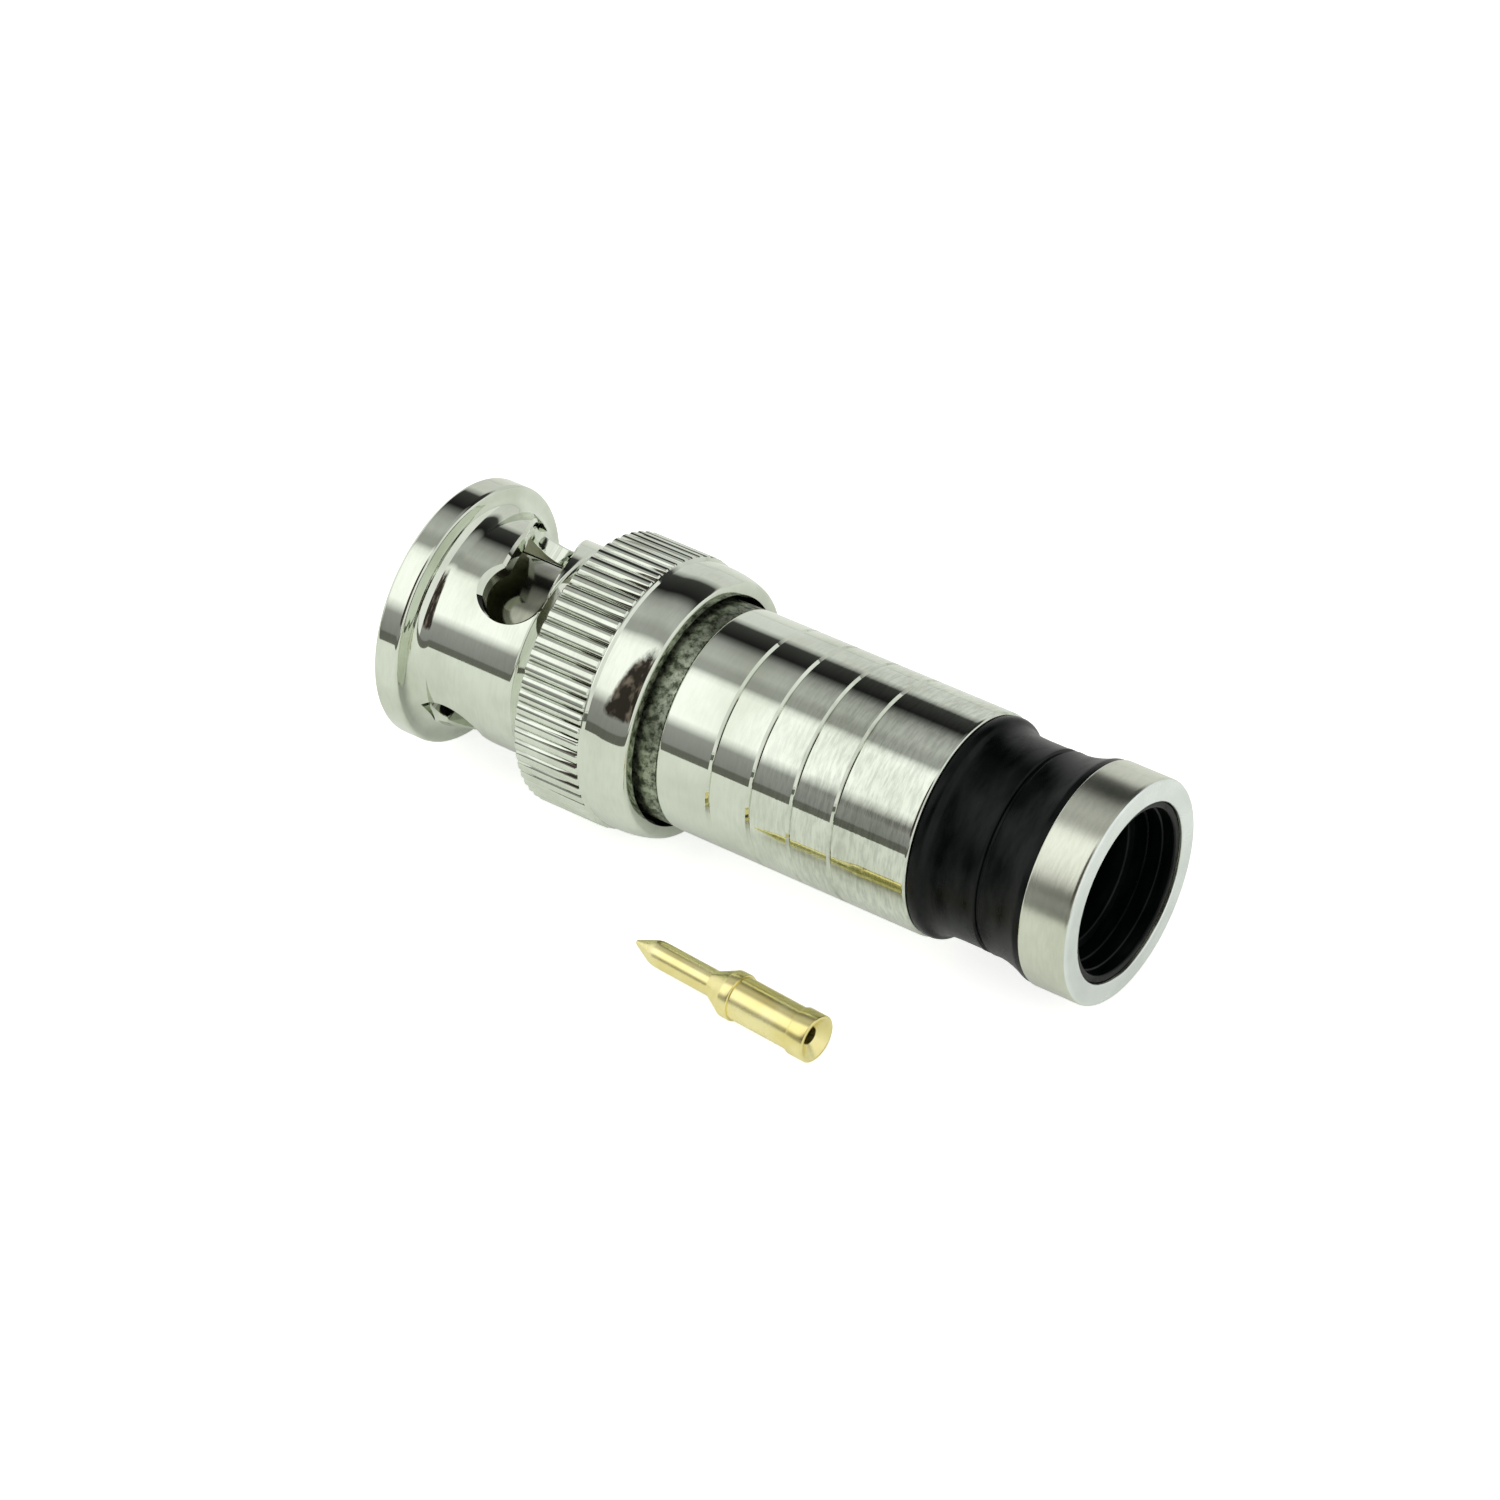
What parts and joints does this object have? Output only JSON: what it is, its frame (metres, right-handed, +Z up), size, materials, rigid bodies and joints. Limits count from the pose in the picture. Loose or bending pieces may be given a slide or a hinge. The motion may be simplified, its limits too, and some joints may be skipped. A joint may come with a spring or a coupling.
{
  "type": "bnc connector",
  "caption": "Straight BNC cable plug, compression type: knurled bayonet coupling nut, grooved barrel, black sleeve, nickel end ring and loose gold centre pin",
  "frame": {"origin": "centre of the coupling nut's front face, on the plug's axis", "axes": "+X along the plug's axis from the mating face to the cable end, +Z up as the plug lies on its side, -Y towards the loose centre pin"},
  "size_m": [0.0422, 0.021, 0.0152],
  "materials": {
    "bright_nickel": "bright nickel plate on brass",
    "satin_nickel": "satin nickel plate on brass",
    "gold_plate": "pale gold plate on brass",
    "spring_steel": "plain rolled",
    "black_plastic": "moulded, semi-matte",
    "white_insulator": "turned, matte",
    "gasket_rubber": "moulded, matte"
  },
  "bodies": {
    "plug_body": {"outer_contact": "bright_nickel", "contact_insulator": "white_insulator", "front_gasket": "gasket_rubber", "wave_washer": "spring_steel", "rear_body": "bright_nickel", "barrel": "bright_nickel", "cable_post": "bright_nickel", "centre_pin": "gold_plate"},
    "push_washer": {"thrust_washer": "spring_steel"},
    "nut": {"coupling_nut": "bright_nickel"},
    "ring": {"end_ring": "satin_nickel", "compression_sleeve": "black_plastic"}
  },
  "joints": [
    {"name": "nut_push", "type": "slide", "parent": "plug_body", "child": "push_washer", "axis": [-1, 0, 0], "range_m": [0, 0.00055], "stiffness_N_per_m": 10000, "deforming": ["wave_washer"]},
    {"name": "nut_turn", "type": "hinge", "parent": "push_washer", "child": "nut", "pos_m": [0, 0, 0], "axis": [1, 0, 0], "continuous": true},
    {"name": "compression_slide", "type": "slide", "parent": "plug_body", "child": "ring", "axis": [-1, 0, 0], "range_m": [0, 0.004], "deforming": ["compression_sleeve"]}
  ]
}
